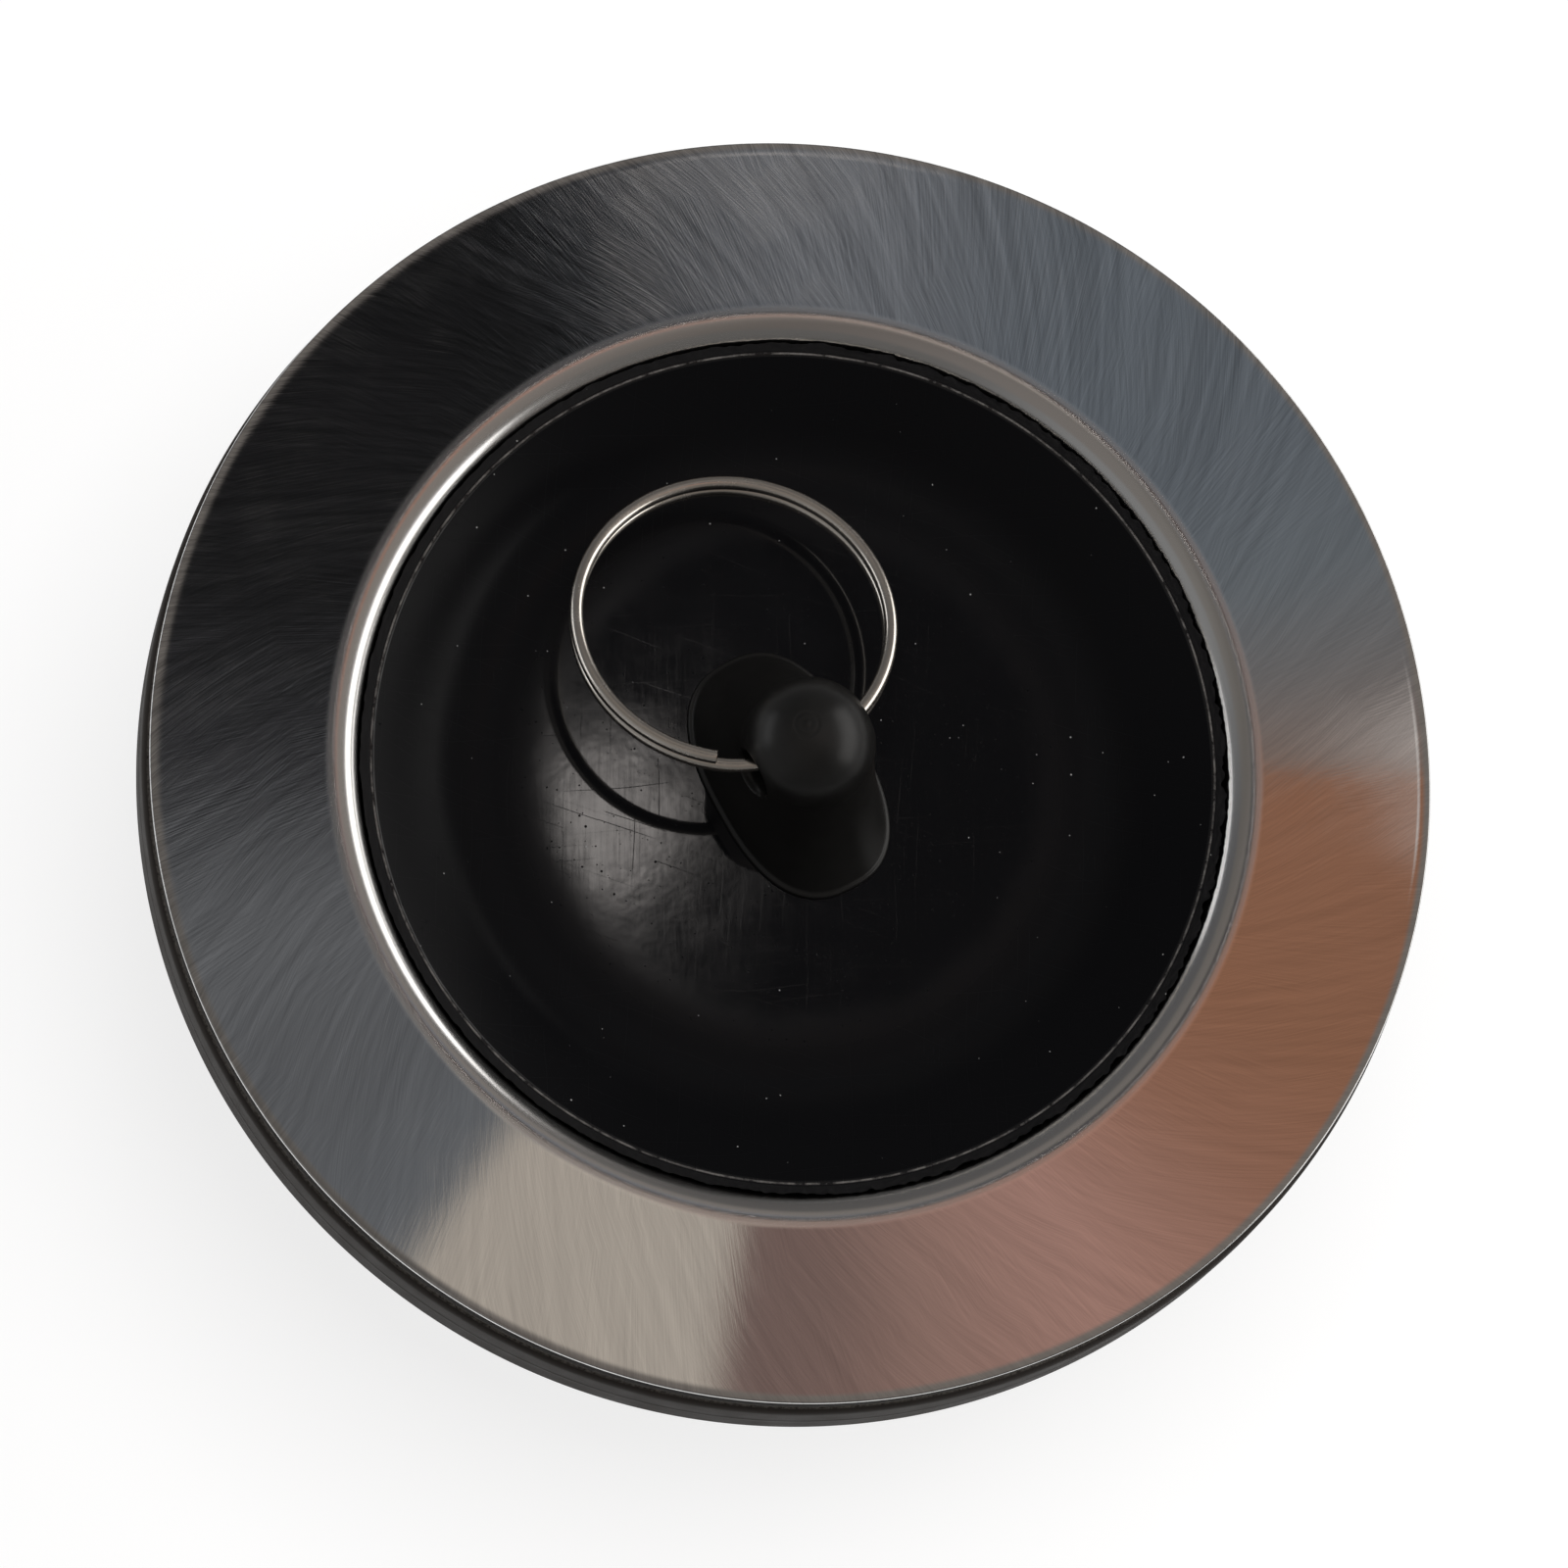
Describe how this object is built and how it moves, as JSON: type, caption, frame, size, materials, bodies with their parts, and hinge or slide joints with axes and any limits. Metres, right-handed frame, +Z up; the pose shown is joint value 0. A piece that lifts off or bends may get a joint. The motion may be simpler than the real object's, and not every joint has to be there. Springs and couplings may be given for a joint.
{
  "type": "drain stopper",
  "caption": "Drain stopper: a dished rubber plug with a pull lug and a split ring, seated in a pressed steel drain flange that rests on thick rubber.",
  "frame": {"origin": "on the drain's axis at the underside of the seat ring, level with the sink that it rests on", "axes": "+Z up out of the drain, +X along the cross bore of the pull lug, +Y towards the side on which the split ring lies"},
  "size_m": [0.1152, 0.1152, 0.0493],
  "materials": {
    "flange_steel": "brushed",
    "gasket_rubber": "matte",
    "seat_rubber": "satin",
    "plug_rubber": "gloss",
    "lug_plastic": "satin",
    "ring_wire": "polished"
  },
  "bodies": {
    "seat": {"steel_flange": "flange_steel", "flange_gasket": "gasket_rubber", "seat_ring": "seat_rubber"},
    "plug": {"rubber_plug": "plug_rubber", "pull_lug": "lug_plastic"},
    "ring": {"split_ring": "ring_wire"}
  },
  "joints": [
    {"name": "plug_lift", "type": "slide", "parent": "seat", "child": "plug", "axis": [0, 0, 1], "range_m": [0, 0.045]},
    {"name": "ring_swing", "type": "hinge", "parent": "plug", "child": "ring", "pos_m": [0, 0, 0.01838], "axis": [1, 0, 0], "range_deg": [-9, 215]}
  ]
}
